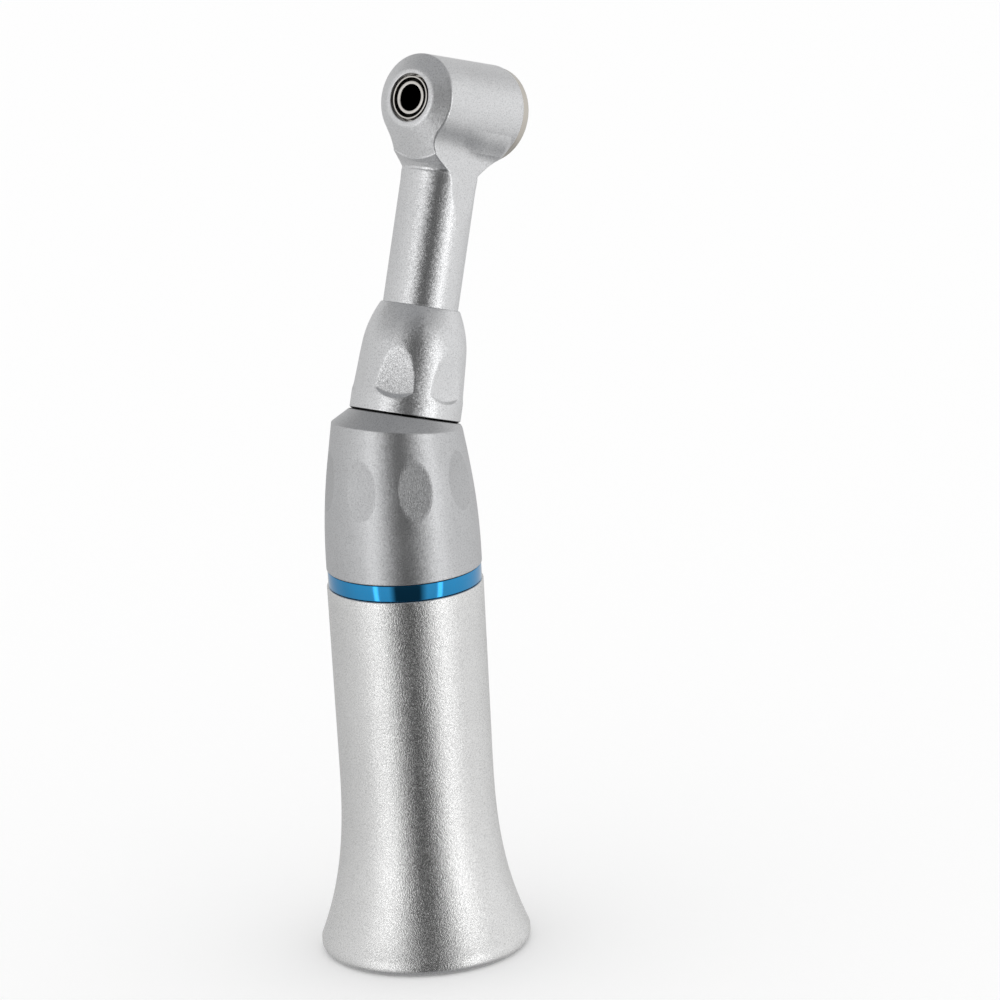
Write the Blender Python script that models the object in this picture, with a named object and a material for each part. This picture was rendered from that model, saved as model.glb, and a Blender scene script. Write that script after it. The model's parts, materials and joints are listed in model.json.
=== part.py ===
"""Contra angle dental handpiece, 1:1: a push-button head on a bent neck, and a motor coupling.

Three axes carry everything. The handle axis is world Z, with the tail rim's face at z = 0.
The neck axis leaves the handle axis at the bend and leans towards -X. The chuck axis crosses
the neck axis at right angles in the head, and its mouth faces +X.
Lengths below are in millimetres and become metres in the meshes.
"""
import math

import bmesh
import bpy
from mathutils import Matrix, Vector

MM = 0.001

# Driving dimensions
RIM_R = 9.9
RIM_ROUND = 0.65
WAIST_R = 7.22
FLARE_TOP = 18.0
FLARE_GAIN = 3.15
FLARE_POWER = 2.6
TAIL_TOP = 35.6
TAIL_TOP_R = 7.30
MOUTH_R = 8.8
COUPLING_BORE_R = 4.8
COUPLING_TOP = 26.5
RING_BOTTOM = 35.66
RING_TOP = 37.14
RING_R = 7.16
CORE_R = 5.85
BORE_R = 5.95
GRIP_BOTTOM = 37.2
GRIP_R = 7.24
GRIP_TURN = 38.0
GRIP_CURVE = 124.0
GRIP_STRAIGHT = 47.5
BEND_Z = 47.04
BEND_DEG = 18.0
CONE_SUM = 9.5
CONE_TOP = 4.3
OVALS = 8
OVAL_PHASE_DEG = 8.0
OVAL_Z = 45.85
OVAL_WIDTH = 3.2
OVAL_ARC_R = 26.0
NUT_BOTTOM = 4.4
NUT_TOP = 14.58
NUT_FLATS = 6
NUT_PHASE_DEG = 24.0
NUT_FLAT_LOW = 6.15
NUT_FLAT_HIGH = 10.5
NUT_FLAT_DEPTH = 0.342
NUT_FLAT_ARC_R = 24.0
COLLAR_R = 4.3
COLLAR_BORE_R = 3.6
NECK_R = 3.5
NECK_BORE_R = 2.9
FRONT_BORE_R = 2.2
HUB_BORE_R = 2.5
PINION_BORE_R = 2.78
HEAD_STATION = 33.16
FACE_C = 4.86
FACE_R = 4.20
FACE_SLOPE = 0.71
FACING_R = 5.32
BARREL_BACK_C = -5.35
BARREL_BACK_R = 4.6
LIP_C = 5.95
LIP_R = 2.75
CHUCK_HOLE_R = 2.22
SHAFT_R = 1.5
BEARING_R = 4.54
NECK_SHAFT_R = 1.0
SPINDLE_R = 1.55
BUR_BORE_R = 1.19
TEETH = 12
PRESSURE_DEG = 20.0
BACKLASH = 0.16
FIT = 0.08

OUTER_STEPS = 32
INNER_STEPS = 20
BALLS = 7


# Small tools

def finish(name, colour, metallic, roughness):
    """A Principled material with one colour."""
    material = bpy.data.materials.new(name)
    material.use_nodes = True
    shader = material.node_tree.nodes["Principled BSDF"]
    shader.inputs["Base Color"].default_value = (*colour, 1.0)
    shader.inputs["Metallic"].default_value = metallic
    shader.inputs["Roughness"].default_value = roughness
    return material


def axis_empty(name, matrix):
    """An empty that carries the pieces of one axis."""
    empty = bpy.data.objects.new(name, None)
    bpy.context.collection.objects.link(empty)
    empty.matrix_world = matrix
    return empty


def add_object(name, mesh_data, parent, material, station=0.0, flipped=False):
    """Put a mesh on an axis, with its origin at a station along it."""
    piece = bpy.data.objects.new(name, mesh_data)
    bpy.context.collection.objects.link(piece)
    piece.parent = parent
    piece.location = (0.0, 0.0, station * MM)
    if flipped:
        piece.rotation_euler = (math.pi, 0.0, 0.0)
    if material:
        mesh_data.materials.append(material)
    return piece


def mesh_from(name, work):
    """Close a bmesh into a mesh with outward faces and smooth round sides."""
    bmesh.ops.remove_doubles(work, verts=work.verts, dist=1e-8)
    bmesh.ops.recalc_face_normals(work, faces=work.faces)
    mesh_data = bpy.data.meshes.new(name)
    work.to_mesh(mesh_data)
    work.free()
    mesh_data.shade_smooth()
    mesh_data.set_sharp_from_angle(angle=math.radians(35.0))
    return mesh_data


def turned_mesh(name, outline, steps):
    """Spin a closed outline of (radius, height) points about the axis."""
    work = bmesh.new()
    points = [work.verts.new((r * MM, 0.0, z * MM)) for r, z in outline]
    sides = []
    for i, (start, end) in enumerate(zip(outline, outline[1:] + outline[:1])):
        if start[0] > 0.0 or end[0] > 0.0:
            sides.append(work.edges.new((points[i], points[(i + 1) % len(points)])))
    bmesh.ops.spin(work, geom=points + sides, cent=(0, 0, 0), axis=(0, 0, 1),
                   angle=math.tau, steps=steps, use_merge=True)
    return mesh_from(name, work)


def turned(name, outline, parent, material, steps=INNER_STEPS, station=0.0):
    """A lathe-turned piece."""
    return add_object(name, turned_mesh(name, outline, steps), parent, material, station)


def turned_tool(name, outline, parent, roll_deg):
    """A lathe-turned cutter, rolled so that its edges miss those of the piece it cuts."""
    tool = turned(name, outline, parent, None, OUTER_STEPS)
    tool.rotation_euler = (0.0, 0.0, math.radians(roll_deg))
    return tool


def tube(name, outer_r, inner_r, low, high, parent, material, steps=INNER_STEPS):
    """A plain turned ring or sleeve."""
    outline = [(outer_r, high), (outer_r, low), (inner_r, low), (inner_r, high)]
    return turned(name, outline, parent, material, steps)


def lofted_mesh(name, first, second):
    """A closed solid between two outlines of the same number of points."""
    work = bmesh.new()
    rings = [[work.verts.new(Vector(point) * MM) for point in ring] for ring in (first, second)]
    work.faces.new(rings[0])
    work.faces.new(reversed(rings[1]))
    count = len(first)
    for i in range(count):
        j = (i + 1) % count
        work.faces.new((rings[0][j], rings[0][i], rings[1][i], rings[1][j]))
    return mesh_from(name, work)


def hidden_tool(piece):
    """Mark a cutter, so that it is not a part of the object."""
    piece.hide_render = True
    piece.display_type = 'WIRE'
    return piece


def combine(target, tool, operation):
    """A Boolean between a piece and a hidden tool."""
    boolean = target.modifiers.new(tool.name, 'BOOLEAN')
    boolean.operation = operation
    boolean.solver = 'EXACT'
    boolean.object = hidden_tool(tool)


def arc(centre_r, centre_z, radius, start_deg, end_deg, count):
    """Points of an arc in the (radius, height) plane."""
    points = []
    for i in range(count + 1):
        angle = math.radians(start_deg + (end_deg - start_deg) * i / count)
        points.append((centre_r + radius * math.cos(angle), centre_z + radius * math.sin(angle)))
    return points


# Handle: tail sleeve, coupling, colour ring, grip sleeve

def flare_r(z):
    """Outer radius of the tail sleeve: a flare below, a slow taper above."""
    if z < FLARE_TOP:
        flare = FLARE_GAIN * ((FLARE_TOP - z) / FLARE_TOP) ** FLARE_POWER
        return min(RIM_R, WAIST_R + flare)
    return WAIST_R + (TAIL_TOP_R - WAIST_R) * (z - FLARE_TOP) / (TAIL_TOP - FLARE_TOP)


def grip_r(z):
    """Outer radius of the grip sleeve: an easy curve that ends in a straight taper."""
    if z <= GRIP_TURN:
        return GRIP_R
    if z <= GRIP_STRAIGHT:
        return GRIP_R - (z - GRIP_TURN) ** 2 / GRIP_CURVE
    slope = 2.0 * (GRIP_STRAIGHT - GRIP_TURN) / GRIP_CURVE
    return grip_r(GRIP_STRAIGHT) - slope * (z - GRIP_STRAIGHT)


def make_tail_sleeve(axis, material):
    """The bead-blasted rear sleeve, open at the tail for the motor."""
    top_edge = 0.12
    outline = [(BORE_R, TAIL_TOP), (TAIL_TOP_R - top_edge, TAIL_TOP)]
    heights = [TAIL_TOP - 0.25, 27.0, 18.0, 14.0, 11.5, 9.5, 7.5, 5.5, 3.5, 1.8]
    outline += [(flare_r(z), z) for z in heights]
    outline += arc(RIM_R - RIM_ROUND, RIM_ROUND, RIM_ROUND, 0, -90, 4)
    outline += [(MOUTH_R, 0.0), (7.0, 3.2), (BORE_R, 3.2)]
    return turned("tail_sleeve", outline, axis, material, OUTER_STEPS)


def make_coupling(axis, brass, rubber):
    """The tube that takes the motor's nose, with a seal in a groove of its bore."""
    wall_r = 5.85
    seal_z = 8.0
    seal_r = 0.3
    groove_r = 5.34
    dog_space_r = 3.4
    outline = [(dog_space_r, COUPLING_TOP), (wall_r, COUPLING_TOP), (wall_r, 3.3),
               (COUPLING_BORE_R + 0.4, 3.3), (COUPLING_BORE_R, 3.7),
               (COUPLING_BORE_R, seal_z - 0.4), (groove_r, seal_z - 0.4),
               (groove_r, seal_z + 0.4), (COUPLING_BORE_R, seal_z + 0.4),
               (COUPLING_BORE_R, 24.5), (dog_space_r, 24.5)]
    turned("coupling_tube", outline, axis, brass, OUTER_STEPS)
    turned("coupling_seal", arc(groove_r - seal_r - 0.08, seal_z, seal_r, 360, 60, 5), axis, rubber)


def make_core(axis, steel):
    """The bearing housing that the tail, the colour ring and the grip sleeve sit on."""
    seat_r = BEARING_R + FIT
    shoulder_r = 3.9
    outline = [(seat_r, 44.6), (CORE_R, 44.6), (CORE_R, 26.7), (seat_r, 26.7),
               (seat_r, 31.1), (shoulder_r, 31.1), (shoulder_r, 41.1), (seat_r, 41.1)]
    turned("bearing_housing", outline, axis, steel, OUTER_STEPS)
    tube("bearing_retainer", BEARING_R, 3.5, 27.0, 28.2, axis, steel)


def make_colour_ring(axis, blue):
    """The anodised ring that marks the gear ratio."""
    edge = 0.1
    outline = [(BORE_R, RING_TOP), (RING_R - edge, RING_TOP), (RING_R, RING_TOP - edge),
               (RING_R, RING_BOTTOM + edge), (RING_R - edge, RING_BOTTOM), (BORE_R, RING_BOTTOM)]
    turned("colour_ring", outline, axis, blue, OUTER_STEPS)


def make_grip_sleeve(handle, neck, material):
    """The front sleeve, cut off by a 45 degree cone about the neck axis."""
    tip_z = 56.0
    heights = [tip_z, GRIP_STRAIGHT, 45.5, 43.0, 40.5, GRIP_TURN]
    outline = [(0.0, tip_z)] + [(grip_r(z), z) for z in heights]
    outline += [(GRIP_R, GRIP_BOTTOM + 0.12), (GRIP_R - 0.12, GRIP_BOTTOM), (0.0, GRIP_BOTTOM)]
    sleeve = turned("grip_sleeve", outline, handle, material, OUTER_STEPS)
    cone_r = CONE_SUM - CONE_TOP
    reach = 14.5
    cone = [(0.0, CONE_TOP), (cone_r, CONE_TOP), (reach, CONE_SUM - reach), (reach, -40.0), (0.0, -40.0)]
    combine(sleeve, turned_tool("cone_tool", cone, neck, 3.1), 'INTERSECT')
    core_bore = [(0.0, 46.8), (3.7, 46.8), (3.7, 44.9), (BORE_R, 44.9), (BORE_R, 30.0), (0.0, 30.0)]
    combine(sleeve, turned_tool("core_bore_tool", core_bore, handle, 4.3), 'DIFFERENCE')
    neck_bore_r = COLLAR_R + FIT
    neck_bore = [(0.0, 12.0), (neck_bore_r, 12.0), (neck_bore_r, 0.2),
                 (3.75, 0.2), (3.75, -1.4), (0.0, -1.4)]
    combine(sleeve, turned_tool("neck_bore_tool", neck_bore, neck, 1.7), 'DIFFERENCE')
    combine(sleeve, make_oval_tool(handle), 'DIFFERENCE')


def make_scoop_tool(name, axis, outline, half_width, count, phase_deg):
    """Blocks that cut equal scoops around an axis: one (radius, height) outline, extruded sideways."""
    work = bmesh.new()
    for i in range(count):
        turn = Matrix.Rotation(math.radians(phase_deg + 360.0 * i / count), 4, 'Z')
        rings = []
        for y in (-half_width, half_width):
            rings.append([work.verts.new(turn @ (Vector((r, y, z)) * MM)) for r, z in outline])
        work.faces.new(rings[0])
        work.faces.new(reversed(rings[1]))
        size = len(outline)
        for k in range(size):
            j = (k + 1) % size
            work.faces.new((rings[0][j], rings[0][k], rings[1][k], rings[1][j]))
    return add_object(name, mesh_from(name, work), axis, None)


def make_oval_tool(handle):
    """Large thin discs on edge, one for each shallow oval grip flat."""
    surface_r = grip_r(OVAL_Z)
    depth = surface_r - math.sqrt(surface_r ** 2 - (OVAL_WIDTH / 2.0) ** 2)
    lean = math.atan(2.0 * (OVAL_Z - GRIP_TURN) / GRIP_CURVE)
    centre_r = surface_r - depth + OVAL_ARC_R * math.cos(lean)
    centre_z = OVAL_Z + OVAL_ARC_R * math.sin(lean)
    middle_deg = 180.0 + math.degrees(lean)
    outline = arc(centre_r, centre_z, OVAL_ARC_R, middle_deg + 9.0, middle_deg - 9.0, 8)
    outside = 4.0
    outline += [(surface_r + outside, outline[-1][1]), (surface_r + outside, outline[0][1])]
    return make_scoop_tool("oval_tool", handle, outline, 2.2, OVALS, OVAL_PHASE_DEG)


# Bearings and gears

def make_bearing(prefix, axis, station, sizes, material):
    """An outer race, an inner race, and a ring of balls in their cage."""
    bore, outer, pitch, ball, width = sizes
    half = width / 2.0
    groove = ball + 0.05
    shoulder = 0.32 * (ball + 0.2)
    open_deg = math.degrees(math.acos(shoulder / groove))
    grooved = arc(pitch, 0.0, groove, open_deg, -open_deg, 4)
    race = [(outer, half), (outer, -half), (pitch + shoulder, -half)] + grooved[::-1]
    race += [(pitch + shoulder, half)]
    turned(prefix + "_outer_race", race, axis, material, INNER_STEPS, station)
    grooved = arc(pitch, 0.0, groove, 180 - open_deg, 180 + open_deg, 4)
    race = [(pitch - shoulder, half)] + grooved + [(pitch - shoulder, -half), (bore, -half), (bore, half)]
    turned(prefix + "_inner_race", race, axis, material, INNER_STEPS, station)
    make_balls(prefix + "_balls", axis, station, pitch, ball, material)


def make_balls(name, axis, station, pitch, ball, material):
    """Seven balls held by a ring cage, as one piece."""
    cage_r = 0.3 * ball
    cage_h = 0.55 * ball
    outline = [(pitch + cage_r, cage_h), (pitch + cage_r, -cage_h),
               (pitch - cage_r, -cage_h), (pitch - cage_r, cage_h)]
    cage = turned(name, outline, axis, material, 3 * BALLS, station)
    work = bmesh.new()
    for i in range(BALLS):
        angle = math.tau * (i + 0.5) / BALLS
        spot = Matrix.Translation(Vector((math.cos(angle), math.sin(angle), 0.0)) * pitch * MM)
        bmesh.ops.create_icosphere(work, subdivisions=1, radius=ball * MM, matrix=spot)
    combine(cage, add_object(name + "_tool", mesh_from(name + "_tool", work), axis, None, station), 'UNION')


def make_bevel_gear(name, axis, station, sizes, gap_first, material):
    """A straight bevel gear whose pitch cone has its apex at the station, body below it."""
    cone_deg, inner_r, outer_r, bore, front, back, back_r = sizes
    lean = math.radians(cone_deg)
    module = 2.0 * outer_r / TEETH
    rise = 0.8 * module
    root = 1.02 * module
    half_pitch = math.pi / (2.0 * TEETH) * (1.0 - BACKLASH)
    flank = math.tan(math.radians(PRESSURE_DEG)) / outer_r
    offsets = [(-half_pitch - root * flank, -root), (-half_pitch + rise * flank, rise),
               (half_pitch - rise * flank, rise), (half_pitch + root * flank, -root)]
    rings = [[], [], [], [], []]
    work = bmesh.new()
    for tooth in range(TEETH):
        centre = math.tau * (tooth + (0.5 if gap_first else 0.0)) / TEETH
        for offset, height in offsets:
            spots = []
            for pitch_r in (outer_r, inner_r):
                lift = height * pitch_r / outer_r
                spots.append((pitch_r + lift * math.cos(lean),
                              pitch_r / math.tan(lean) - lift * math.sin(lean)))
            spots += [(bore, front), (bore, back), (back_r, back)]
            for ring, (r, depth) in zip(rings, spots):
                angle = centre + offset
                ring.append(work.verts.new(Vector((r * math.cos(angle), r * math.sin(angle), depth)) * MM))
    count = len(rings[0])
    for first, second in zip(rings, rings[1:] + rings[:1]):
        for i in range(count):
            j = (i + 1) % count
            work.faces.new((first[i], first[j], second[j], second[i]))
    gear_mesh = mesh_from(name, work)
    return add_object(name, gear_mesh, axis, material, station, flipped=True)


# Drive train in the handle

def make_drive(axis, steel, bearing_steel):
    """Dog, shaft, bearings and the gear below the bend."""
    dog_low = 19.9
    outline = [(SHAFT_R + FIT, 27.0), (2.3, 27.0), (2.3, dog_low), (0.0, dog_low),
               (0.0, 22.8), (SHAFT_R + FIT, 22.8)]
    dog = turned("drive_dog", outline, axis, steel)
    slot = bmesh.new()
    bmesh.ops.create_cube(slot, size=1.0)
    bmesh.ops.scale(slot, verts=slot.verts, vec=(6.0 * MM, 1.5 * MM, 4.0 * MM))
    slot_tool = add_object("dog_slot_tool", mesh_from("dog_slot_tool", slot), axis, None, dog_low)
    combine(dog, slot_tool, 'DIFFERENCE')
    edge = 0.2
    shaft = [(0.0, 45.9), (SHAFT_R - edge, 45.9), (SHAFT_R, 45.7),
             (SHAFT_R, 23.1), (SHAFT_R - edge, 22.9), (0.0, 22.9)]
    turned("drive_shaft", shaft, axis, steel)
    sizes = (SHAFT_R + FIT, BEARING_R, 3.06, 0.75, 2.3)
    make_bearing("drive_rear", axis, 29.7, sizes, bearing_steel)
    make_bearing("drive_front", axis, 42.6, sizes, bearing_steel)
    bend = (90.0 - BEND_DEG / 2.0, 1.9, 3.0, SHAFT_R + FIT, 0.7, 2.0, 2.9)
    make_bevel_gear("drive_gear", axis, BEND_Z, bend, False, steel)


# Neck and head

def make_collar(axis, steel):
    """The threaded collar that the lock nut screws onto, with its thread drawn as rings."""
    top = 9.6
    crest = COLLAR_R
    valley = COLLAR_R - 0.18
    outline = [(COLLAR_BORE_R, top), (valley, top)]
    pitch = 0.75
    for i in range(2):
        low = top - 0.4 - i * pitch
        outline += [(valley, low), (crest, low - 0.2), (crest, low - 0.35), (valley, low - 0.55)]
    outline += [(valley, 7.8), (crest, 7.6), (crest, 0.35), (COLLAR_BORE_R, 0.35)]
    turned("thread_collar", outline, axis, steel, INNER_STEPS)


def nut_r(s):
    """Outer radius of the lock nut along the neck axis."""
    shoulder = 10.5
    below = 6.0
    if s <= below:
        return 5.18
    if s <= shoulder:
        return 5.18 - 0.073 * (s - below)
    return nut_r(shoulder) - 0.07 * (s - shoulder) - 0.055 * (s - shoulder) ** 2


def make_lock_nut(axis, material):
    """The tapered ring nut with six bullet-shaped finger flats."""
    inner_r = COLLAR_R + 0.12
    hole_r = NECK_R + 0.08
    outline = [(hole_r, NUT_TOP), (3.74, NUT_TOP), (3.88, NUT_TOP - 0.12)]
    outline += [(nut_r(s), s) for s in (14.1, 13.2, 12.3, 11.4, 10.5, 8.2, 6.0)]
    outline += [(5.18, NUT_BOTTOM + 0.08), (5.1, NUT_BOTTOM),
                (inner_r, NUT_BOTTOM), (inner_r, 10.65), (hole_r, 10.65)]
    nut = turned("lock_nut", outline, axis, material, OUTER_STEPS)
    combine(nut, make_flat_tool(axis), 'DIFFERENCE')


def make_flat_tool(axis):
    """Six scoops with a square step below, which run out of the taper in a bullet shape above."""
    low = Vector((nut_r(NUT_FLAT_LOW) - NUT_FLAT_DEPTH, NUT_FLAT_LOW))
    high = Vector((nut_r(NUT_FLAT_HIGH), NUT_FLAT_HIGH))
    chord = high - low
    outward = Vector((chord.y, -chord.x)).normalized()
    rise = math.sqrt(NUT_FLAT_ARC_R ** 2 - (chord.length / 2.0) ** 2)
    centre = (low + high) / 2.0 + outward * rise
    half_deg = math.degrees(math.asin(chord.length / 2.0 / NUT_FLAT_ARC_R))
    middle_deg = 180.0 + math.degrees(math.atan2(outward.y, outward.x))
    run_out_deg = 2.4
    outline = arc(centre.x, centre.y, NUT_FLAT_ARC_R, middle_deg + half_deg,
                  middle_deg - half_deg - run_out_deg, 7)
    outside_r = 7.0
    outline += [(outside_r, outline[-1][1]), (outside_r, NUT_FLAT_LOW)]
    return make_scoop_tool("flat_tool", axis, outline, 2.4, NUT_FLATS, NUT_PHASE_DEG)


def keyhole(c, barrel_r):
    """The head seen along the chuck axis: a circle above a milled waist and the flat neck sides."""
    circle_start_deg = -math.degrees(math.acos(2.95 / barrel_r))
    circle = arc(0.0, HEAD_STATION, barrel_r, circle_start_deg, 90.0, 12)
    waist = [(3.1, 26.5), (2.93, 27.0), (2.76, 27.5), (2.66, 28.0), (2.62, 28.5), (2.67, 29.0)]
    fillet = [(2.79, (waist[-1][1] + circle[0][1]) / 2.0)]
    sides = [(4.2, 2.0), (4.2, 12.0), (NECK_R + 0.1, 14.0), (NECK_R + 0.02, 23.0), (3.16, 25.6)]
    half = sides + waist + fillet + circle
    outline = half + [(-y, s) for y, s in reversed(half[:-1])]
    return [(c, y, s) for y, s in outline]


def make_head_housing(neck, chuck, material):
    """Neck tube and head barrel in one piece: turned about both axes, with milled cheeks."""
    flange_r = 4.25
    turned_neck = [(0.0, 33.0), (6.6, 33.0), (6.35, 32.0), (6.08, 31.0), (5.75, 30.0), (5.4, 28.95),
                   (4.92, 28.5), (4.38, 28.0), (3.86, 27.5), (3.57, 27.15), (NECK_R, 26.8), (NECK_R, 10.5),
                   (flange_r, 10.5), (flange_r, 9.7), (NECK_R, 9.7), (NECK_R, 2.9),
                   (NECK_R - 0.2, 2.7), (0.0, 2.7)]
    housing = turned("head_housing", turned_neck, neck, material, OUTER_STEPS)
    taper = (FACE_R - BARREL_BACK_R) / (FACE_C - BARREL_BACK_C)
    web_back_c = BARREL_BACK_C + 0.06
    ends = [keyhole(c, BARREL_BACK_R - 0.05 + taper * (c - BARREL_BACK_C)) for c in (web_back_c, 8.0)]
    cheeks = lofted_mesh("cheek_tool", *ends)
    combine(housing, add_object("cheek_tool", cheeks, neck, None), 'INTERSECT')
    blank_c = 7.0
    barrel = [(0.0, blank_c), (FACE_R + taper * (blank_c - FACE_C), blank_c),
              (BARREL_BACK_R, BARREL_BACK_C), (0.0, BARREL_BACK_C)]
    combine(housing, turned_tool("barrel_tool", barrel, chuck, 0.0), 'UNION')
    far_r = 33.0
    side_c = flange_r + 0.1
    web_c = FACE_C - FACE_SLOPE * (FACING_R - FACE_R)
    face = [(0.0, LIP_C), (LIP_R, LIP_C), (LIP_R + 0.06, FACE_C + FACE_SLOPE * (FACE_R - LIP_R)),
            (FACING_R, web_c), (10.0, web_c + 0.02), (10.0, side_c), (far_r, side_c),
            (far_r, -9.0), (0.0, -9.0)]
    combine(housing, turned_tool("face_tool", face, chuck, 2.3), 'INTERSECT')
    seat_r = 3.5
    bore = [(0.0, 8.0), (CHUCK_HOLE_R, 8.0), (CHUCK_HOLE_R, 5.1), (seat_r, 5.1), (seat_r, -4.0),
            (3.9, -4.0), (3.9, -8.0), (0.0, -8.0)]
    combine(housing, turned_tool("barrel_bore_tool", bore, chuck, 4.1), 'DIFFERENCE')
    neck_bore = [(0.0, 31.5), (PINION_BORE_R, 31.5), (PINION_BORE_R, 30.3), (HUB_BORE_R, 30.3),
                 (HUB_BORE_R, 29.2), (FRONT_BORE_R, 29.2), (FRONT_BORE_R, 24.6), (NECK_BORE_R, 24.6),
                 (NECK_BORE_R, 0.0), (0.0, 0.0)]
    combine(housing, turned_tool("neck_inside_tool", neck_bore, neck, 3.7), 'DIFFERENCE')


def make_neck_drive(axis, steel, bronze):
    """The shaft up the neck, its two bushes, and a bevel gear at each end."""
    for name, bore_r, low in (("neck_rear_bush", NECK_BORE_R, 4.0), ("neck_front_bush", FRONT_BORE_R, 25.0)):
        tube(name, bore_r - FIT, NECK_SHAFT_R + FIT, low, low + 3.5, axis, bronze)
    turned("neck_shaft", [(0.0, 30.9), (NECK_SHAFT_R, 30.9), (NECK_SHAFT_R, 1.3), (0.0, 1.3)], axis, steel)
    bend = (90.0 - BEND_DEG / 2.0, 1.9, 3.0, NECK_SHAFT_R + FIT, 0.7, 2.0, 2.9)
    rear = make_bevel_gear("neck_rear_gear", axis, 0.0, bend, True, steel)
    rear.rotation_euler = (0.0, 0.0, 0.0)
    head = (45.0, 2.05, 2.45, NECK_SHAFT_R + FIT, 2.3, 3.6, 1.9)
    make_bevel_gear("neck_pinion", axis, HEAD_STATION, head, False, steel)


def make_chuck(axis, steel, bearing_steel, bright):
    """The spindle that grips the bur, its gear and its two bearings."""
    sleeve_r = 1.98
    spindle = [(1.84, 5.82), (sleeve_r, 5.82), (sleeve_r, 2.9), (SPINDLE_R, 2.8), (SPINDLE_R, -4.85),
               (BUR_BORE_R, -4.85), (BUR_BORE_R, 2.6), (1.58, 2.6), (1.58, 5.0), (1.84, 5.0)]
    turned("chuck_spindle", spindle, axis, bright, 32)
    tube("chuck_collet", 1.52, BUR_BORE_R, 2.7, 5.75, axis, bright, 32)
    make_bearing("chuck_front", axis, 4.1, (sleeve_r + 0.05, 3.42, 2.73, 0.38, 1.5), bearing_steel)
    make_bearing("chuck_rear", axis, -4.1, (SPINDLE_R + 0.05, 3.42, 2.4, 0.42, 1.3), bearing_steel)
    head = (45.0, 2.05, 2.45, SPINDLE_R + 0.05, 2.3, 3.3, 2.4)
    make_bevel_gear("chuck_gear", axis, 0.0, head, True, steel)


def make_cap(axis, chrome, steel):
    """The polished rear cap with the release button and its spring."""
    button_r = 3.1
    outline = [(4.5, -5.42), (4.5, -5.75)] + arc(3.9, -5.85, 0.6, 10, -70, 4)
    outline += [(3.5, -6.62), (button_r + 0.08, -6.5), (button_r + 0.08, -6.2), (3.55, -6.2),
                (3.55, -5.0), (3.82, -5.0), (3.82, -5.42)]
    turned("head_cap", outline, axis, chrome, OUTER_STEPS)
    flange_r = 3.4
    button = [(0.0, -5.75), (2.4, -5.75), (2.4, -5.85), (flange_r, -5.85), (flange_r, -6.12),
              (button_r, -6.12), (button_r, -6.45), (button_r - 0.15, -6.58), (1.6, -6.66), (0.0, -6.68)]
    turned("push_button", button, axis, chrome, 32)
    work = bmesh.new()
    steps = 36
    rings = []
    for i in range(steps):
        angle = math.tau * i / steps
        wave = -5.64 + 0.06 * math.cos(3.0 * angle)
        section = ((3.3, wave + 0.05), (3.3, wave - 0.05), (2.6, wave - 0.05), (2.6, wave + 0.05))
        rings.append([work.verts.new(Vector((r * math.cos(angle), r * math.sin(angle), c)) * MM)
                      for r, c in section])
    for first, second in zip(rings, rings[1:] + rings[:1]):
        for i in range(4):
            j = (i + 1) % 4
            work.faces.new((first[i], first[j], second[j], second[i]))
    add_object("button_spring", mesh_from("button_spring", work), axis, steel)


def build():
    """Clear the file and make every piece on its axis."""
    for old in list(bpy.data.objects):
        bpy.data.objects.remove(old, do_unlink=True)
    satin = finish("satin_aluminium", (0.72, 0.73, 0.74), 1.0, 0.42)
    blasted = finish("blasted_aluminium", (0.78, 0.78, 0.78), 1.0, 0.5)
    blue = finish("blue_anodised", (0.01, 0.18, 0.42), 1.0, 0.15)
    chrome = finish("chrome", (0.85, 0.84, 0.82), 1.0, 0.08)
    steel = finish("tool_steel", (0.55, 0.56, 0.58), 1.0, 0.3)
    bearing_steel = finish("bearing_steel", (0.7, 0.71, 0.72), 1.0, 0.12)
    brass = finish("nickel_brass", (0.72, 0.66, 0.48), 1.0, 0.25)
    rubber = finish("black_rubber", (0.02, 0.02, 0.02), 0.0, 0.7)

    neck_matrix = Matrix.Translation((0, 0, BEND_Z * MM)) @ Matrix.Rotation(math.radians(-BEND_DEG), 4, 'Y')
    chuck_matrix = neck_matrix @ Matrix.Translation((0, 0, HEAD_STATION * MM))
    chuck_matrix = chuck_matrix @ Matrix.Rotation(math.radians(90.0), 4, 'Y')
    handle = axis_empty("handle_axis", Matrix.Identity(4))
    neck = axis_empty("neck_axis", neck_matrix)
    chuck = axis_empty("chuck_axis", chuck_matrix)

    make_tail_sleeve(handle, blasted)
    make_coupling(handle, brass, rubber)
    make_core(handle, steel)
    make_colour_ring(handle, blue)
    make_grip_sleeve(handle, neck, satin)
    make_drive(handle, steel, bearing_steel)
    make_collar(neck, steel)
    make_lock_nut(neck, satin)
    make_head_housing(neck, chuck, satin)
    make_neck_drive(neck, steel, brass)
    make_chuck(chuck, steel, bearing_steel, bearing_steel)
    make_cap(chuck, chrome, steel)


build()
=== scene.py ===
import json
import math

import bmesh
import bpy
import numpy as np
from mathutils import Matrix, Vector


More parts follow.
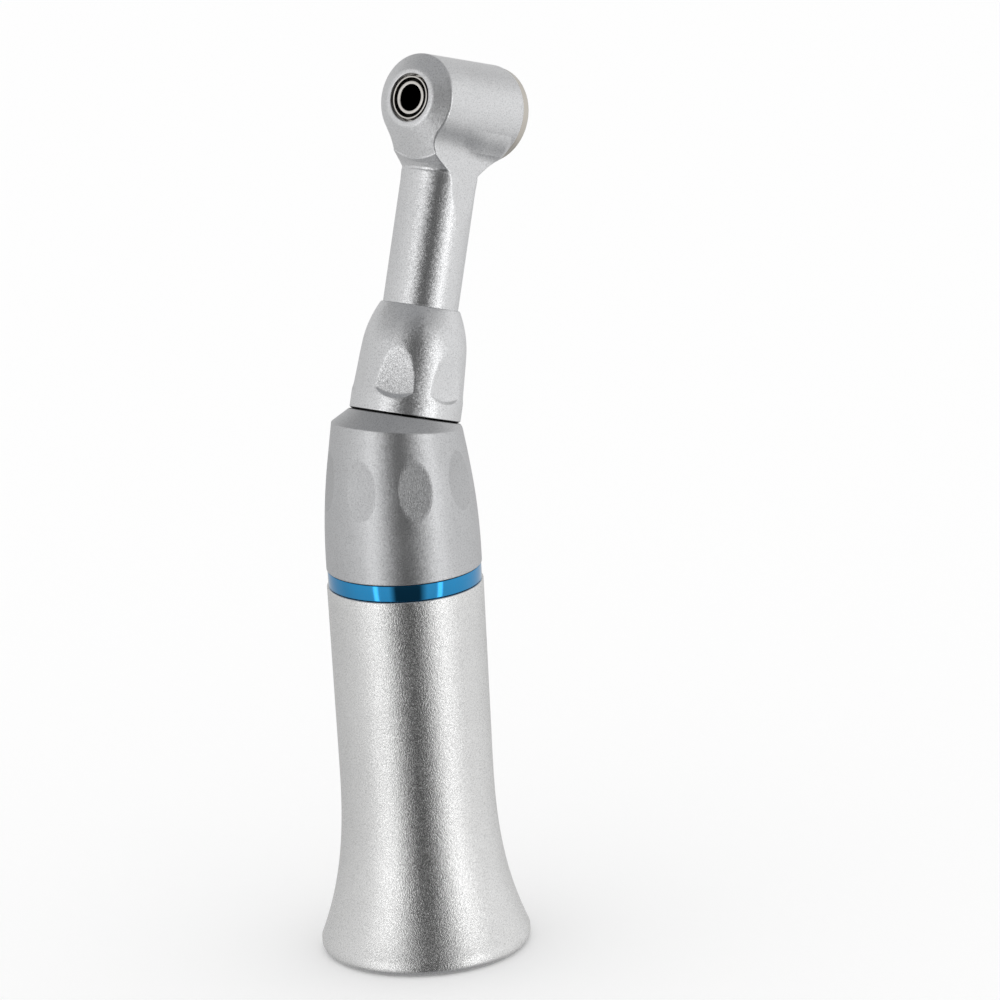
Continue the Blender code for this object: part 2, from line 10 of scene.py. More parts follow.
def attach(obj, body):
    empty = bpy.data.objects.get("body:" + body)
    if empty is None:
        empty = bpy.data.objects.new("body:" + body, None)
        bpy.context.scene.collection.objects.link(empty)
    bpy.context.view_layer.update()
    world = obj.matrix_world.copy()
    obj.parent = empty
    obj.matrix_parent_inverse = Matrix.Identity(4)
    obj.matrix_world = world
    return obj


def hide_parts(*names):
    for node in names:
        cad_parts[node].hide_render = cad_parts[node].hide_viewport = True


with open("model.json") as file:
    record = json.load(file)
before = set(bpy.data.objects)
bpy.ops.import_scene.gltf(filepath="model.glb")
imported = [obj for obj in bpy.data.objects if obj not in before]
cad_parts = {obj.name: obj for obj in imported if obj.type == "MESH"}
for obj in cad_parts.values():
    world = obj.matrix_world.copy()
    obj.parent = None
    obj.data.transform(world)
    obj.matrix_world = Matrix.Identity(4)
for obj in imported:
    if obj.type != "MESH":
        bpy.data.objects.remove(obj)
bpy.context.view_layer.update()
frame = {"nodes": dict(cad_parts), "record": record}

# A contra angle handpiece: fine meshes over the CAD nodes that show most, finishes for all of
# them, a camera, a studio and a floor.

MM = 0.001

# Sizes in millimetres. They follow the CAD, apart from the foot and the lip of the nut. Z is a
# height on the handle, S a station along the neck, and C a place on the chuck's axis.

# Tail sleeve and colour ring
RIM_R = 9.9
RIM_ROUND = 0.65
WAIST_R = 7.22
FLARE_TOP = 18.0
FLARE_GAIN = 3.15
FLARE_POWER = 2.6
TAIL_TOP = 35.6
TAIL_TOP_R = 7.30
TAIL_EDGE = 0.12
RING_BOTTOM = 35.66
RING_TOP = 37.14
RING_R = 7.16
BORE_R = 5.95

# Grip sleeve
GRIP_BOTTOM = 37.2
GRIP_R = 7.24
GRIP_TURN = 38.0
GRIP_CURVE = 124.0
GRIP_STRAIGHT = 47.5
GRIP_BORE_TOP = 44.9
BEND_Z = 47.04
BEND = math.radians(18.0)
CONE_SUM = 9.5
CONE_TOP = 4.3
DRIVE_BORE_R = 3.75
DRIVE_BORE_TOP = 46.8
DRIVE_BORE_S = -1.4
COLLAR_R = 4.38
COLLAR_SEAT_S = 0.2
OVALS = 8
OVAL_PHASE = math.radians(8.0)
OVAL_Z = 45.85
OVAL_WIDTH = 3.2
OVAL_ARC_R = 26.0

# Lock nut
NUT_BOTTOM = 4.32
NUT_TOP = 14.58
NUT_R = 5.18
NUT_TAPER = 0.073
NUT_TAPER_S = 6.0
NUT_NOSE_S = 10.5
NUT_NOSE_SLOPE = 0.07
NUT_NOSE_CURVE = 0.055
NUT_GROOVE_R = 4.95
NUT_GROOVE_SLOPE = 0.7
NUT_FLATS = 6
NUT_PHASE = math.radians(24.0)
NUT_FLAT_LOW = 6.15
NUT_FLAT_HIGH = 10.5
NUT_FLAT_DEPTH = 0.342
NUT_FLAT_ARC_R = 24.0
NUT_LIP_DROP = 0.32
NUT_LIP_CURVE = 0.11
NUT_LIP_SLOPE = 0.9
NUT_BORE_R = 3.58
NUT_THREAD_R = 4.42
NUT_THREAD_TOP = 10.65

# Neck: the radius of its turned outside, half its width between the scoops, and its bore
NECK_R = 3.5
NECK_START = 2.7
NECK_STATIONS = (2.0, 25.9, 26.15, 26.8, 26.95, 27.12, 27.5, 28.0, 28.5, 28.95, 30.0, 31.0, 32.0, 33.0)
NECK_RADII = (NECK_R, NECK_R, 3.52, 3.54, 3.50, 3.55, 3.86, 4.38, 4.92, 5.35, 5.75, 6.08, 6.35, 6.6)
SCOOP_STATIONS = (2.0, 22.0, 23.0, 25.4, 26.5, 27.0, 27.5, 28.0, 28.5, 33.0)
SCOOP_WIDTHS = (3.7, 3.62, 3.50, 3.12, 3.05, 2.90, 2.73, 2.61, 2.56, 2.50)
NECK_BORE_STATIONS = (24.5, 24.7, 29.15, 29.25, 30.25, 30.35)
NECK_BORE_RADII = (2.9, 2.2, 2.2, 2.5, 2.5, 2.78)
NECK_BORE_TOP = 31.0
FLANGE_R = 4.25
FLANGE_S = 10.1
FLANGE_HALF = 0.4

# Head
HEAD_STATION = 33.16
FACE_C = 4.86
FACE_R = 4.20
FACE_SLOPE = 0.71
FACING_R = 5.32
BARREL_BACK_C = -5.35
BARREL_BACK_R = 4.6
BARREL_FILLET = 1.2
SCOOP_FILLET = 0.85
LIP_C = 5.93
CHUCK_HOLE_R = 2.22
CHUCK_HOLE_C = 5.0
FRONT_SEAT_R = 3.5
FRONT_SEAT_C = 5.1
REAR_BORE_R = 3.9
REAR_BORE_C = -4.0

# Rear cap and release button
CAP_R = 4.5
CAP_FRONT_C = -5.42
CAP_ROUND = 0.6
CAP_ROUND_C = -5.95
CAP_BACK_C = -6.60
CAP_HOLE_R = 3.18
CAP_SEAT_C = -6.2
CAP_BORE_R = 3.55
CAP_SPIGOT_R = 3.82
CAP_SPIGOT_C = -5.0
BUTTON_R = 3.1
BUTTON_RIM_R = 3.4
BUTTON_FOOT_R = 2.4
BUTTON_FOOT_C = -5.75
BUTTON_RIM_C = -5.85
BUTTON_SEAT_C = -6.12
DOME_R = 3.0
DOME_C = -6.45
DOME_RISE = 0.23

# Spindle sleeve and collet tube
SLEEVE_TIP_C = 5.82
SLEEVE_R = 1.98
SLEEVE_INNER_R = 1.84
SPINDLE_R = 1.55
SPINDLE_BACK_C = -4.85
COLLET_TIP_C = 5.75
COLLET_BACK_C = 2.7
COLLET_R = 1.52
CHUCK_BORE_R = 1.19

# Coupling tube and its seal ring
TUBE_TOP = 26.5
TUBE_BOTTOM = 3.3
TUBE_R = 5.85
TUBE_HOLE_R = 3.4
SOCKET_R = 4.8
SOCKET_TOP = 24.5
SOCKET_CHAMFER = 0.4
SEAL_Z = 8.0
SEAL_GROOVE_R = 5.34
SEAL_PITCH_R = 4.96
SEAL_SECTION_R = 0.3

HANDLE = Matrix.Identity(4)
NECK = Matrix.Translation((0, 0, BEND_Z * MM)) @ Matrix.Rotation(-BEND, 4, 'Y')
CHUCK = NECK @ Matrix.Translation((0, 0, HEAD_STATION * MM)) @ Matrix.Rotation(math.pi / 2, 4, 'Y')

# Ball sets: name, body, axis, place on the axis, pitch radius, ball radius
BALL_COUNT = 7
BALL_SETS = (
    ("drive_rear_balls", "drive_ball_cages", HANDLE, 29.7, 3.06, 0.75),
    ("drive_front_balls", "drive_ball_cages", HANDLE, 42.6, 3.06, 0.75),
    ("chuck_front_balls", "chuck_front_cage", CHUCK, 4.1, 2.73, 0.38),
    ("chuck_rear_balls", "chuck_rear_cage", CHUCK, -4.1, 2.4, 0.42))

# Where painted shade starts on the grip and the nut, in the joint between them, and where painted shade
# starts inside the sleeve and the collet
GRIP_SHADE_S = 4.22
NUT_SHADE_S = 4.50
SLEEVE_SHADE_C = 5.74
COLLET_SHADE_C = 5.68


# ---------------------------------------------------------------- mesh tools

def smooth_min(a, b, fillet):
    """Union of two distance fields with a fillet."""
    share = np.clip(0.5 + 0.5 * (b - a) / fillet, 0.0, 1.0)
    return b + (a - b) * share - fillet * share * (1.0 - share)


def smooth_max(a, b, edge):
    """Intersection of two distance fields with a rounded edge."""
    return -smooth_min(-a, -b, edge)


def link_object(name, data):
    """A new object in the scene for some data."""
    made = bpy.data.objects.new(name, data)
    bpy.context.collection.objects.link(made)
    return made


def new_piece(name, coords, faces, matrix=HANDLE):
    """A mesh object whose place is in its vertices."""
    data = bpy.data.meshes.new(name)
    coords = np.asarray(coords, dtype=np.float64) * MM
    turn = np.array(matrix)
    coords = coords @ turn[:3, :3].T + turn[:3, 3]
    faces = np.asarray(faces, dtype=np.int32)
    data.vertices.add(len(coords))
    data.vertices.foreach_set("co", coords.ravel())
    data.loops.add(faces.size)
    data.loops.foreach_set("vertex_index", faces.ravel())
    data.polygons.add(len(faces))
    data.polygons.foreach_set("loop_start", np.arange(0, faces.size, faces.shape[1], dtype=np.int32))
    data.update(calc_edges=True)
    data.shade_smooth()
    return link_object(name, data)


def sample(field, axes):
    """Field values on a grid: exact near the surface, and a block's one value away from it.
    The fields are only roughly distances, so a block has to be well away to count as far."""
    block = 6
    margin = 0.4
    slack = 1.25
    value = np.empty([len(axis) for axis in axes], dtype=np.float32)
    starts = [range(0, len(axis), block) for axis in axes]
    for i in starts[0]:
        for j in starts[1]:
            for k in starts[2]:
                parts = [axis[a:a + block] for axis, a in zip(axes, (i, j, k))]
                ends = [(part[0], part[-1]) for part in parts]
                middle = [(low + high) / 2.0 for low, high in ends]
                reach = 0.5 * math.sqrt(sum((high - low) ** 2 for low, high in ends)) + margin
                here = float(field(*[np.array([m]) for m in middle])[0])
                cut = np.s_[i:i + block, j:j + block, k:k + block]
                far = abs(here) > slack * reach
                value[cut] = here if far else field(*np.meshgrid(*parts, indexing="ij"))
    return value


def net_mesh(field, axes):
    """Surface nets: one vertex in each cell that the surface crosses, quads between them."""
    axes = [np.asarray(axis, dtype=np.float64) for axis in axes]
    value = sample(field, axes)
    inside = value < 0.0
    shape = tuple(n - 1 for n in value.shape)
    total = np.zeros(shape + (3,))
    hits = np.zeros(shape, dtype=np.int32)
    crossings = []
    for axis in range(3):
        low = [slice(None)] * 3
        high = [slice(None)] * 3
        low[axis] = slice(0, -1)
        high[axis] = slice(1, None)
        low, high = tuple(low), tuple(high)
        crossed = inside[low] != inside[high]
        index = np.argwhere(crossed)
        a = value[low][crossed].astype(np.float64)
        b = value[high][crossed].astype(np.float64)
        point = np.stack([stations[index[:, k]] for k, stations in enumerate(axes)], 1)
        point[:, axis] += a / (a - b) * (axes[axis][index[:, axis] + 1] - point[:, axis])
        others = [k for k in range(3) if k != axis]
        for da in (0, 1):
            for db in (0, 1):
                cell = index.copy()
                cell[:, others[0]] -= da
                cell[:, others[1]] -= db
                good = np.all((cell >= 0) & (cell < shape), axis=1)
                where = tuple(cell[good].T)
                np.add.at(total, where, point[good])
                np.add.at(hits, where, 1)
        crossings.append((axis, others, index, inside[low][crossed]))
    used = hits > 0
    number = np.full(shape, -1, dtype=np.int64)
    number[used] = np.arange(int(used.sum()))
    coords = total[used] / hits[used][:, None]
    quads = []
    for axis, others, index, start_inside in crossings:
        corners = []
        for da, db in ((0, 0), (1, 0), (1, 1), (0, 1)):
            cell = index.copy()
            cell[:, others[0]] -= da
            cell[:, others[1]] -= db
            corners.append(number[tuple(cell.T)])
        quad = np.stack(corners, 1)
        flip = start_inside if axis != 1 else ~start_inside
        quad[flip] = quad[flip][:, ::-1]
        quads.append(quad)
    return coords, np.concatenate(quads)


def settle(field, coords, step, rounds=4):
    """Move vertices onto the surface along the field's gradient, by at most a step a round."""
    coords = coords.copy()
    tiny = 1e-4
    least_slope = 0.2
    for _ in range(rounds):
        here = field(*coords.T)
        slope = np.empty_like(coords)
        for axis in range(3):
            moved = coords.copy()
            moved[:, axis] += tiny
            slope[:, axis] = (field(*moved.T) - here) / tiny
        size = np.maximum((slope ** 2).sum(1), least_slope)
        move = -(here / size)[:, None] * slope
        length = np.linalg.norm(move, axis=1)
        move *= np.minimum(1.0, step / np.maximum(length, 1e-12))[:, None]
        coords += move
    return coords


def sculpted(name, field, axes, matrix=HANDLE):
    """A piece from a distance field sampled on a grid."""
    coords, quads = net_mesh(field, axes)
    coords = settle(field, coords, 0.04)
    return new_piece(name, coords, quads, matrix)


def spread(low, high, step):
    """Even grid stations from low to high."""
    return list(np.linspace(low, high, int(math.ceil((high - low) / step)) + 1))


def rounded(outline, radius, count=3):
    """Round the corners of a closed (radius, height) outline, apart from nearly straight ones."""
    straight = math.radians(172)
    most_of_side = 0.45
    result = []
    size = len(outline)
    for i, corner in enumerate(outline):
        here = Vector(corner)
        before = Vector(outline[i - 1]) - here
        after = Vector(outline[(i + 1) % size]) - here
        turn = before.angle(after) if before.length and after.length else math.pi
        reach = radius / math.tan(turn / 2.0) if turn < straight else 0.0
        reach = min(reach, most_of_side * before.length, most_of_side * after.length)
        if here.x <= 0.0 or reach <= 1e-5:
            result.append(tuple(here))
            continue
        start = here + before.normalized() * reach
        end = here + after.normalized() * reach
        for k in range(count + 1):
            t = k / count
            point = start * (1 - t) ** 2 + here * 2 * t * (1 - t) + end * t ** 2
            result.append(tuple(point))
    return result


def turned(name, outline, matrix=HANDLE, steps=160):
    """A closed lathe shape from an outline of (radius, height) points."""
    points = np.array(outline, dtype=np.float64)
    count = len(points)
    angles = np.arange(steps) * math.tau / steps
    coords = np.empty((steps, count, 3))
    coords[..., 0] = np.cos(angles)[:, None] * points[:, 0]
    coords[..., 1] = np.sin(angles)[:, None] * points[:, 0]
    coords[..., 2] = points[:, 1]
    first = np.arange(steps)[:, None] * count + np.arange(count)
    after = np.roll(first, -1, axis=0)
    quads = np.stack([first, after, np.roll(after, -1, axis=1), np.roll(first, -1, axis=1)], 2)
    piece = new_piece(name, coords.reshape(-1, 3), quads.reshape(-1, 4), matrix)
    work = bmesh.new()
    work.from_mesh(piece.data)
    bmesh.ops.remove_doubles(work, verts=work.verts, dist=1e-8)
    bmesh.ops.dissolve_degenerate(work, edges=work.edges, dist=1e-9)
    bmesh.ops.recalc_face_normals(work, faces=work.faces)
    work.to_mesh(piece.data)
    work.free()
    piece.data.shade_smooth()
    piece.data.set_sharp_from_angle(angle=math.radians(40.0))
    return piece


def arc(centre_r, centre_z, radius, start_deg, end_deg, count):
    """Points of an arc in the (radius, height) plane."""
    turns = [math.radians(start_deg + (end_deg - start_deg) * i / count) for i in range(count + 1)]
    return [(centre_r + radius * math.cos(a), centre_z + radius * math.sin(a)) for a in turns]


def mark(piece, attribute, matrix, rule):
    """Store a 0 to 1 value on every vertex; the rule takes x, y, z arrays in millimetres."""
    coords = np.empty(len(piece.data.vertices) * 3)
    piece.data.vertices.foreach_get("co", coords)
    turn = np.array(matrix.inverted())
    local = coords.reshape(-1, 3) @ turn[:3, :3].T + turn[:3, 3]
    values = rule(*(local.T / MM))
    layer = piece.data.attributes.new(attribute, 'FLOAT', 'POINT')
    layer.data.foreach_set("value", np.asarray(values, dtype=np.float32))
    return piece


def place(piece, body, slot, material, *nodes):
    """Give a piece its body, its finish and the CAD nodes that it stands for."""
    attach(piece, body)
    if nodes:
        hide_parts(*nodes)
    piece.data.materials.clear()
    piece.data.materials.append(material)
    return piece


# ---------------------------------------------------------------- materials

class Nodes:
    """A short way to write a node tree."""

    def __init__(self, tree):
        self.tree = tree

    def add(self, kind, inputs=None, **settings):
        """A node with its settings; an input is a value or another node's socket."""
        node = self.tree.nodes.new(kind)
        for key, value in settings.items():
            setattr(node, key, value)
        for key, value in (inputs or {}).items():
            socket = node.inputs[key]
            if isinstance(value, bpy.types.NodeSocket):
                self.tree.links.new(value, socket)
            else:
                socket.default_value = value
        return node

    def math(self, operation, a, b=0.0):
        """The result of a maths node."""
        return self.add("ShaderNodeMath", {0: a, 1: b}, operation=operation).outputs[0]

    def mix(self, factor, a, b, blend='MIX'):
        """Two colours mixed by a factor."""
        return self.add("ShaderNodeMix", {"Factor": factor, 6: a, 7: b},
                        data_type='RGBA', blend_type=blend).outputs[2]

    def mix_value(self, factor, a, b):
        """Two plain values mixed by a factor."""
        return self.add("ShaderNodeMix", {0: factor, 2: a, 3: b}, data_type='FLOAT').outputs[0]

    def attribute(self, name):
        """A value that mark stored on the vertices."""
        return self.add("ShaderNodeAttribute", attribute_name=name).outputs["Fac"]

    def ramp(self, value, stops, mode='EASE'):
        """Grey levels for a value, from (value, level) stops."""
        node = self.add("ShaderNodeValToRGB", {"Fac": value})
        node.color_ramp.interpolation = mode
        elements = node.color_ramp.elements
        while len(elements) > 1:
            elements.remove(elements[-1])
        elements[0].position = stops[0][0]
        elements[0].color = (*[stops[0][1]] * 3, 1.0)
        for position, level in stops[1:]:
            element = elements.new(position)
            element.color = (*[level] * 3, 1.0)
        return node.outputs["Color"]


def start_material(name):
    """A new material with its Principled shader, ready for sockets."""
    material = bpy.data.materials.new(name)
    material.use_nodes = True
    nodes = Nodes(material.node_tree)
    shader = material.node_tree.nodes["Principled BSDF"]
    where = nodes.add("ShaderNodeTexCoord").outputs["Object"]
    return material, nodes, shader, where


def wire(material, shader, tone, rough, bump, metallic):
    """Join a colour, a roughness and a bump to the shader."""
    links = material.node_tree.links
    links.new(tone, shader.inputs["Base Color"])
    links.new(rough, shader.inputs["Roughness"])
    links.new(bump.outputs[0], shader.inputs["Normal"])
    shader.inputs["Metallic"].default_value = metallic
    return material


def noise(nodes, where, size_mm, detail=2.0, stretch=(1, 1, 1)):
    """Noise with features of a given size; stretch > 1 makes them longer along that axis."""
    scale = [1.0 / (size_mm * MM * s) for s in stretch]
    mapped = nodes.add("ShaderNodeMapping", {"Vector": where, "Scale": scale})
    return nodes.add("ShaderNodeTexNoise", {"Vector": mapped.outputs[0], "Scale": 1.0,
                                            "Detail": detail, "Roughness": 0.6}).outputs["Fac"]


def facets(nodes, where, size_mm, tilt):
    """A normal that tilts at random from one small blasted facet to the next."""
    mapped = nodes.add("ShaderNodeMapping", {"Vector": where, "Scale": [1.0 / (size_mm * MM)] * 3})
    cells = nodes.add("ShaderNodeTexVoronoi", {"Vector": mapped.outputs[0], "Scale": 1.0})
    lean = nodes.add("ShaderNodeVectorMath", {0: cells.outputs["Color"], 1: (0.5, 0.5, 0.5)},
                     operation='SUBTRACT').outputs[0]
    lean = nodes.add("ShaderNodeVectorMath", {0: lean, "Scale": tilt}, operation='SCALE').outputs[0]
    normal = nodes.add("ShaderNodeNewGeometry").outputs["Normal"]
    normal = nodes.add("ShaderNodeVectorMath", {0: normal, 1: lean}, operation='ADD').outputs[0]
    return nodes.add("ShaderNodeVectorMath", {0: normal}, operation='NORMALIZE').outputs[0]


def lathe_lines(nodes, where, axis):
    """Fine lines that run round an axis, as a turning tool leaves them."""
    pitch_mm = 0.07
    length_mm = 0.6
    back = axis.inverted()
    mapped = nodes.add("ShaderNodeMapping", {"Vector": where, "Location": back.translation,
                                             "Rotation": back.to_euler()})
    parts = nodes.add("ShaderNodeSeparateXYZ", {0: mapped.outputs[0]}).outputs
    radius = nodes.math('SQRT', nodes.math('ADD', nodes.math('MULTIPLY', parts[0], parts[0]),
                                           nodes.math('MULTIPLY', parts[1], parts[1])))
    angle = nodes.math('MULTIPLY', nodes.math('ARCTAN2', parts[1], parts[0]), length_mm * MM)
    spot = nodes.add("ShaderNodeCombineXYZ", {0: radius, 1: angle, 2: 0.0}).outputs[0]
    return noise(nodes, spot, pitch_mm)


CLOUD_MM = 4.0
SMEAR_MM = 1.6
BRUSH_MM = 0.07
# Painted shade: a near-black colour for the joint under the nut, and one for the inside of the chuck
# bores
PAINTED_JOINT_SHADE = (0.02, 0.02, 0.021, 1)
PAINTED_BORE_SHADE = (0.012, 0.011, 0.010, 1)


def darker(colour, share):
    """A colour scaled by a share, with its alpha."""
    return (*[share * c for c in colour], 1)


def blasted_metal(name, colour, roughness, grain_mm, depth_mm, tilt, brushed=False, faced=None):
    """Bead-blasted aluminium: small facets that sparkle, and a slightly uneven tone.
    Where the joint attribute is 1, the colour is painted near black as shade in a joint. Where "milled"
    is 1, the metal is brushed, and where "faced" is 1, it is turned about the axis that is given."""
    material, nodes, shader, where = start_material(name)
    grain = noise(nodes, where, grain_mm)
    cloud = noise(nodes, where, CLOUD_MM)
    patches = nodes.ramp(cloud, [(0.3, 0.0), (0.7, 1.0)])
    tone = nodes.mix(patches, darker(colour, 0.96), (*colour, 1))
    speck = nodes.ramp(grain, [(0.34, 0.76), (0.50, 0.94), (0.66, 1.0)])
    tone = nodes.mix(1.0, tone, speck, 'MULTIPLY')
    rough = nodes.math('ADD', nodes.math('MULTIPLY', cloud, 0.08), roughness - 0.04)
    height = grain
    if brushed:
        flat = nodes.attribute("milled")
        lines = noise(nodes, where, BRUSH_MM, stretch=(1, 1, 40))
        height = nodes.mix_value(flat, height, nodes.math('MULTIPLY', lines, 1.6))
        shade = nodes.math('SUBTRACT', 1.0, nodes.math('MULTIPLY', flat, 0.10))
        tone = nodes.mix(1.0, tone, shade, 'MULTIPLY')
    if faced:
        flat = nodes.attribute("faced")
        lines = lathe_lines(nodes, where, faced)
        height = nodes.mix_value(flat, height, nodes.math('MULTIPLY', lines, 1.2))
        rough = nodes.math('ADD', rough, nodes.math('MULTIPLY', flat, 0.14))
    # Painted shade: the joint attribute mixes the colour towards near black where shade falls in the
    # joint
    tone = nodes.mix(nodes.attribute("painted_joint_shade"), tone, PAINTED_JOINT_SHADE)
    bump = nodes.add("ShaderNodeBump", {"Height": height, "Strength": 1.0, "Distance": depth_mm * MM,
                                        "Normal": facets(nodes, where, 0.9 * grain_mm, tilt)})
    return wire(material, shader, tone, rough, bump, 1.0)


def polished_metal(name, colour, roughness, line_mm=0.08, depth_mm=0.0004, stretch=(1, 1, 1),
                   painted_bore_shade=False):
    """Turned and polished metal: fine lines and smears that break up its reflections.
    Where the bore attribute is 1, the colour is painted near black as shade inside a bore."""
    material, nodes, shader, where = start_material(name)
    lines = noise(nodes, where, line_mm, stretch=stretch)
    smear = noise(nodes, where, SMEAR_MM, 3.0)
    tone = nodes.mix(smear, darker(colour, 0.90), (*colour, 1))
    # Painted shade: the colour goes near black inside the bore
    if painted_bore_shade:
        tone = nodes.mix(nodes.attribute("painted_bore_shade"), tone, PAINTED_BORE_SHADE)
    rough = nodes.math('ADD', nodes.math('MULTIPLY', smear, roughness * 0.6), roughness * 0.7)
    bump = nodes.add("ShaderNodeBump", {"Height": lines, "Strength": 1.0, "Distance": depth_mm * MM})
    return wire(material, shader, tone, rough, bump, 1.0)


def rubber(name):
    """Black seal rubber with a dusty, slightly uneven surface."""
    material, nodes, shader, where = start_material(name)
    dust = noise(nodes, where, 0.5, 4.0)
    tone = nodes.mix(dust, (0.012, 0.012, 0.013, 1), (0.035, 0.034, 0.033, 1))
    rough = nodes.math('ADD', nodes.math('MULTIPLY', dust, 0.2), 0.5)
    bump = nodes.add("ShaderNodeBump", {"Height": dust, "Strength": 1.0, "Distance": 0.004 * MM})
    return wire(material, shader, tone, rough, bump, 0.0)


# ---------------------------------------------------------------- handle pieces

def flare_r(z):
    """Outer radius of the tail sleeve."""
    if z < FLARE_TOP:
        flare = FLARE_GAIN * ((FLARE_TOP - z) / FLARE_TOP) ** FLARE_POWER
        return min(RIM_R, WAIST_R + flare)
    return WAIST_R + (TAIL_TOP_R - WAIST_R) * (z - FLARE_TOP) / (TAIL_TOP - FLARE_TOP)


def grip_r(z):
    """Outer radius of the grip sleeve, for numbers or arrays."""
    slope = 2.0 * (GRIP_STRAIGHT - GRIP_TURN) / GRIP_CURVE
    up = np.clip(z, GRIP_TURN, GRIP_STRAIGHT) - GRIP_TURN
    return GRIP_R - up ** 2 / GRIP_CURVE - slope * np.maximum(z - GRIP_STRAIGHT, 0.0)


def make_tail_sleeve():
    """The flared rear sleeve, open for the motor."""
    outline = [(BORE_R, TAIL_TOP)]
    outline += arc(TAIL_TOP_R - TAIL_EDGE, TAIL_TOP - TAIL_EDGE, TAIL_EDGE, 90, 0, 4)
    outline += [(flare_r(z), z) for z in np.linspace(TAIL_TOP - 1.5, FLARE_TOP, 8)]
    outline += [(flare_r(z), z) for z in np.linspace(FLARE_TOP - 0.5, 1.1, 44)]
    outline += arc(RIM_R - RIM_ROUND, RIM_ROUND, RIM_ROUND, 0, -90, 10)
    outline += [(8.85, 0.0), (8.74, 0.09), (7.0, 3.15), (6.9, 3.2), (BORE_R, 3.2)]
    return turned("tail_sleeve_fine", outline, steps=256)


def make_colour_ring():
    """The polished blue ring between the two sleeves."""
    outline = rounded([(BORE_R, RING_TOP), (RING_R, RING_TOP), (RING_R, RING_BOTTOM),
                       (BORE_R, RING_BOTTOM)], 0.07, 4)
    return turned("colour_ring_fine", outline, steps=256)


def neck_coords(x, y, z):
    """Handle coordinates turned into the neck's: across, across, along."""
    up = z - BEND_Z
    return x * math.cos(BEND) + up * math.sin(BEND), y, up * math.cos(BEND) - x * math.sin(BEND)


def fold(x, y, count, phase):
    """Radial and tangential distance in the nearest of count equal sectors."""
    radius = np.hypot(x, y)
    sector = math.tau / count
    angle = np.arctan2(y, x) - phase
    angle = angle - sector * np.round(angle / sector)
    return radius * np.cos(angle), radius * np.sin(angle)


def oval_field(x, y, z):
    """Distance to the discs that scoop the shallow ovals (negative inside a disc)."""
    across, _ = fold(x, y, OVALS, OVAL_PHASE)
    top_r = float(grip_r(OVAL_Z))
    depth = top_r - math.sqrt(top_r ** 2 - (OVAL_WIDTH / 2.0) ** 2)
    lean = math.atan(2.0 * (OVAL_Z - GRIP_TURN) / GRIP_CURVE)
    out = (across - top_r + depth) * math.cos(lean) + (z - OVAL_Z) * math.sin(lean)
    along = (z - OVAL_Z) * math.cos(lean) - (across - top_r + depth) * math.sin(lean)
    return np.hypot(out - OVAL_ARC_R, along) - OVAL_ARC_R


def grip_field(x, y, z):
    """The grip sleeve: a turned body, a cone about the neck, ovals and its bores."""
    radius = np.hypot(x, y)
    nx, ny, s = neck_coords(x, y, z)
    neck_radius = np.hypot(nx, ny)
    body = smooth_max(radius - grip_r(z), GRIP_BOTTOM - z, 0.10)
    cone = (neck_radius + s - CONE_SUM) / math.sqrt(2.0)
    body = smooth_max(body, cone, 0.07)
    body = smooth_max(body, s - CONE_TOP, 0.07)
    body = smooth_max(body, -oval_field(x, y, z), 0.03)
    bore = np.maximum(radius - BORE_R, z - GRIP_BORE_TOP)
    bore = np.minimum(bore, np.maximum(radius - DRIVE_BORE_R, z - DRIVE_BORE_TOP))
    collar = np.maximum(neck_radius - COLLAR_R, COLLAR_SEAT_S - s)
    collar = np.minimum(collar, np.maximum(neck_radius - DRIVE_BORE_R, DRIVE_BORE_S - s))
    return smooth_max(body, -np.minimum(bore, collar), 0.05)


def make_grip_sleeve():
    """The grip sleeve, with its ovals marked as milled and its top marked for painted shade in the joint
    under the nut.
    """
    step = 0.08
    side = spread(-7.4, 7.4, step)
    piece = sculpted("grip_sleeve_fine", grip_field, (side, side, spread(37.0, 53.6, step)))
    mark(piece, "milled", HANDLE,
         lambda x, y, z: (np.abs(oval_field(x, y, z)) < 0.02) & (np.hypot(x, y) > BORE_R + 0.05))
    # Painted shade on the grip's top, in the joint under the nut
    return mark(piece, "painted_joint_shade", NECK, lambda x, y, s: np.clip((s - GRIP_SHADE_S) / 0.06, 0.0, 1.0))


# ---------------------------------------------------------------- nut and head

def nut_r(s):
    """Outer radius of the lock nut along the neck axis, for arrays."""
    straight = NUT_R - NUT_TAPER * (np.clip(s, NUT_TAPER_S, NUT_NOSE_S) - NUT_TAPER_S)
    over = np.maximum(s - NUT_NOSE_S, 0.0)
    return straight - NUT_NOSE_SLOPE * over - NUT_NOSE_CURVE * over ** 2


def flat_centre():
    """Centre of the arc that scoops a finger flat, in the (radius, station) plane."""
    low_r = float(nut_r(NUT_FLAT_LOW)) - NUT_FLAT_DEPTH
    high_r = float(nut_r(NUT_FLAT_HIGH))
    chord = math.hypot(high_r - low_r, NUT_FLAT_HIGH - NUT_FLAT_LOW)
    rise = math.sqrt(NUT_FLAT_ARC_R ** 2 - (chord / 2.0) ** 2) / chord
    return ((low_r + high_r) / 2.0 + rise * (NUT_FLAT_HIGH - NUT_FLAT_LOW),
            (NUT_FLAT_LOW + NUT_FLAT_HIGH) / 2.0 - rise * (high_r - low_r))


